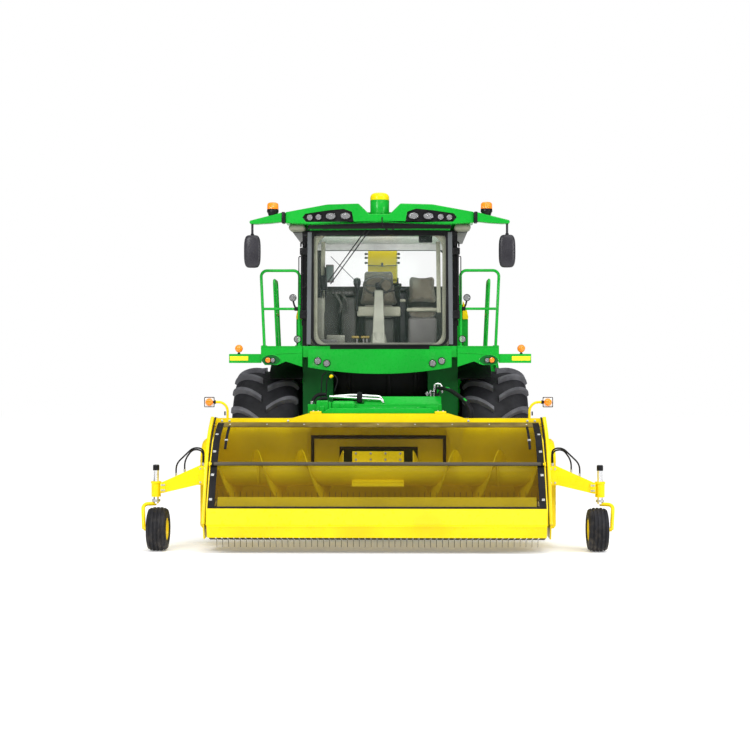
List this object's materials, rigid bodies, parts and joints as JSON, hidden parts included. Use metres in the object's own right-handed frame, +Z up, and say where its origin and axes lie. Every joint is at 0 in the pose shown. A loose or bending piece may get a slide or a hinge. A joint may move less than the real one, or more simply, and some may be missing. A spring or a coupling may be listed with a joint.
{
  "type": "self-propelled forage harvester with windrow pickup",
  "caption": "Forage harvester with cab, swinging discharge spout, steered rear wheels and a lifting windrow pickup on caster gauge wheels.",
  "frame": {"origin": "on the ground, midway along the length and the width", "axes": "-Y is the way the machine drives, +Z is up, +X is the machine's left side"},
  "size_m": [4.9788, 8.0623, 3.952],
  "materials": {
    "green_paint": "gloss",
    "yellow_paint": "gloss",
    "black_paint": "satin",
    "dark_grey_paint": "satin",
    "worn_steel": "worn",
    "galvanised": "dull",
    "chrome": "bright",
    "black_plastic": "matt",
    "grey_plastic": "matt",
    "seat_fabric": "woven",
    "glass": "clear",
    "lamp_lens": "clear over a reflector",
    "amber_lens": "translucent",
    "screen_mesh": "see-through mesh",
    "tyre": "matt"
  },
  "bodies": {
    "machine": {"beacons": "amber_lens", "body_panels": "green_paint", "cab_controls": "grey_plastic", "cab_floor": "dark_grey_paint", "cab_frame": "black_paint", "cab_glass": "glass", "cab_rear_wall": "grey_plastic", "cab_roof": "green_paint", "cab_supports": "green_paint", "chassis_frame": "dark_grey_paint", "chassis_rails": "dark_grey_paint", "cutterhead_housing": "green_paint", "engine_block": "dark_grey_paint", "front_axle": "dark_grey_paint", "fuel_tanks": "black_plastic", "handrails": "green_paint", "hood": "green_paint", "ladder": "green_paint", "lamps": "lamp_lens", "mirrors": "black_plastic", "platforms": "green_paint", "position_receiver": "green_paint", "rear_axle_beam": "dark_grey_paint", "seats": "seat_fabric"},
    "front_wheel_left": {"front_tyre_left": "tyre", "front_rim_left": "yellow_paint"},
    "front_wheel_right": {"front_tyre_right": "tyre", "front_rim_right": "yellow_paint"},
    "knuckle_left": {"knuckle_left": "dark_grey_paint"},
    "knuckle_right": {"knuckle_right": "dark_grey_paint"},
    "rear_wheel_left": {"rear_tyre_left": "tyre", "rear_rim_left": "yellow_paint"},
    "rear_wheel_right": {"rear_tyre_right": "tyre", "rear_rim_right": "yellow_paint"},
    "steering_rod": {"steering_rod": "chrome"},
    "cab_door_left": {"cab_door_left": "black_paint", "cab_door_pane_left": "glass"},
    "cab_door_right": {"cab_door_right": "black_paint", "cab_door_pane_right": "glass"},
    "engine_door_left": {"engine_door_left": "green_paint"},
    "engine_door_right": {"engine_door_right": "green_paint"},
    "turret": {"spout_turret": "green_paint"},
    "spout": {"spout_elbow": "yellow_paint", "spout": "yellow_paint"},
    "spout_cap": {"spout_cap": "yellow_paint"},
    "header": {"feed_housing": "green_paint", "feed_drive": "green_paint", "header_frame": "yellow_paint", "gauge_arms": "yellow_paint", "stripper_bands": "galvanised"},
    "auger": {"auger": "worn_steel"},
    "pickup_reel": {"pickup_reel": "worn_steel"},
    "crop_guard": {"crop_shield": "screen_mesh", "press_band": "yellow_paint"},
    "caster_left": {"caster_left": "yellow_paint"},
    "caster_right": {"caster_right": "yellow_paint"},
    "gauge_wheel_left": {"gauge_wheel_left": "tyre"},
    "gauge_wheel_right": {"gauge_wheel_right": "tyre"},
    "lift_barrels": {"lift_barrels": "black_paint"},
    "lift_rods": {"lift_rods": "chrome"}
  },
  "joints": [
    {"name": "front_wheel_spin_left", "type": "hinge", "parent": "machine", "child": "front_wheel_left", "pos_m": [1.365, -0.89, 0.9717], "axis": [1, 0, 0], "continuous": true},
    {"name": "steer_left", "type": "hinge", "parent": "machine", "child": "knuckle_left", "pos_m": [0.93, 2.31, 0.7219], "axis": [0, 0, 1], "range_deg": [-40, 40]},
    {"name": "rear_wheel_spin_left", "type": "hinge", "parent": "knuckle_left", "child": "rear_wheel_left", "pos_m": [1.2, 2.31, 0.7219], "axis": [1, 0, 0], "continuous": true},
    {"name": "cab_door_left", "type": "hinge", "parent": "machine", "child": "cab_door_left", "pos_m": [0.916, -0.638, 2.8], "axis": [0, 0, 1], "range_deg": [0, 70]},
    {"name": "engine_door_left", "type": "hinge", "parent": "machine", "child": "engine_door_left", "pos_m": [1.112, 2.075, 2.556], "axis": [0, -1, 0], "range_deg": [0, 80]},
    {"name": "caster_swivel_left", "type": "hinge", "parent": "header", "child": "caster_left", "pos_m": [2.345, -3.45, 0.622], "axis": [0, 0, 1], "continuous": true},
    {"name": "gauge_wheel_spin_left", "type": "hinge", "parent": "caster_left", "child": "gauge_wheel_left", "pos_m": [2.295, -3.63, 0.228], "axis": [1, 0, 0], "continuous": true},
    {"name": "front_wheel_spin_right", "type": "hinge", "parent": "machine", "child": "front_wheel_right", "pos_m": [-1.365, -0.89, 0.9717], "axis": [1, 0, 0], "continuous": true},
    {"name": "steer_right", "type": "hinge", "parent": "machine", "child": "knuckle_right", "pos_m": [-0.93, 2.31, 0.7219], "axis": [0, 0, 1], "range_deg": [-40, 40]},
    {"name": "rear_wheel_spin_right", "type": "hinge", "parent": "knuckle_right", "child": "rear_wheel_right", "pos_m": [-1.2, 2.31, 0.7219], "axis": [1, 0, 0], "continuous": true},
    {"name": "cab_door_right", "type": "hinge", "parent": "machine", "child": "cab_door_right", "pos_m": [-0.916, -0.638, 2.8], "axis": [0, 0, -1], "range_deg": [0, 70]},
    {"name": "engine_door_right", "type": "hinge", "parent": "machine", "child": "engine_door_right", "pos_m": [-1.112, 2.075, 2.556], "axis": [0, 1, 0], "range_deg": [0, 80]},
    {"name": "caster_swivel_right", "type": "hinge", "parent": "header", "child": "caster_right", "pos_m": [-2.345, -3.45, 0.622], "axis": [0, 0, 1], "continuous": true},
    {"name": "gauge_wheel_spin_right", "type": "hinge", "parent": "caster_right", "child": "gauge_wheel_right", "pos_m": [-2.295, -3.63, 0.228], "axis": [1, 0, 0], "continuous": true},
    {"name": "steering_rod_slide", "type": "slide", "parent": "machine", "child": "steering_rod", "axis": [1, 0, 0], "range_m": [-0.13, 0.13]},
    {"name": "spout_swing", "type": "hinge", "parent": "machine", "child": "turret", "pos_m": [0, 0.37, 3], "axis": [0, 0, 1], "range_deg": [-105, 105]},
    {"name": "spout_lift", "type": "hinge", "parent": "turret", "child": "spout", "pos_m": [0, 0.19, 3.06], "axis": [1, 0, 0], "range_deg": [0, 35]},
    {"name": "spout_cap_tilt", "type": "hinge", "parent": "spout", "child": "spout_cap", "pos_m": [0, 3.6558, 3.2669], "axis": [-1, 0, 0], "range_deg": [0, 60]},
    {"name": "header_lift", "type": "hinge", "parent": "machine", "child": "header", "pos_m": [0, -1.34, 1], "axis": [-1, 0, 0], "range_deg": [0, 14]},
    {"name": "auger_spin", "type": "hinge", "parent": "header", "child": "auger", "pos_m": [0, -3.05, 0.77], "axis": [1, 0, 0], "continuous": true},
    {"name": "reel_spin", "type": "hinge", "parent": "header", "child": "pickup_reel", "pos_m": [0, -3.66, 0.33], "axis": [1, 0, 0], "continuous": true},
    {"name": "crop_guard_lift", "type": "hinge", "parent": "header", "child": "crop_guard", "pos_m": [0, -3.02, 1.29], "axis": [-1, 0, 0], "range_deg": [0, 25]},
    {"name": "lift_barrel_pivot", "type": "hinge", "parent": "machine", "child": "lift_barrels", "pos_m": [0, -0.89, 0.6], "axis": [-1, 0, 0], "range_deg": [0, 9]},
    {"name": "lift_rod_slide", "type": "slide", "parent": "lift_barrels", "child": "lift_rods", "axis": [0, -0.9994, -0.0339], "range_m": [0, 0.1]}
  ],
  "couplings": [
    {"joint": "steer_right", "follows": "steer_left", "ratio": 1},
    {"joint": "steering_rod_slide", "follows": "steer_left", "m_per_rad": -0.175},
    {"joint": "lift_barrel_pivot", "follows": "header_lift", "ratio": 0.6207},
    {"joint": "lift_rod_slide", "follows": "header_lift", "m_per_rad": 0.3798}
  ]
}
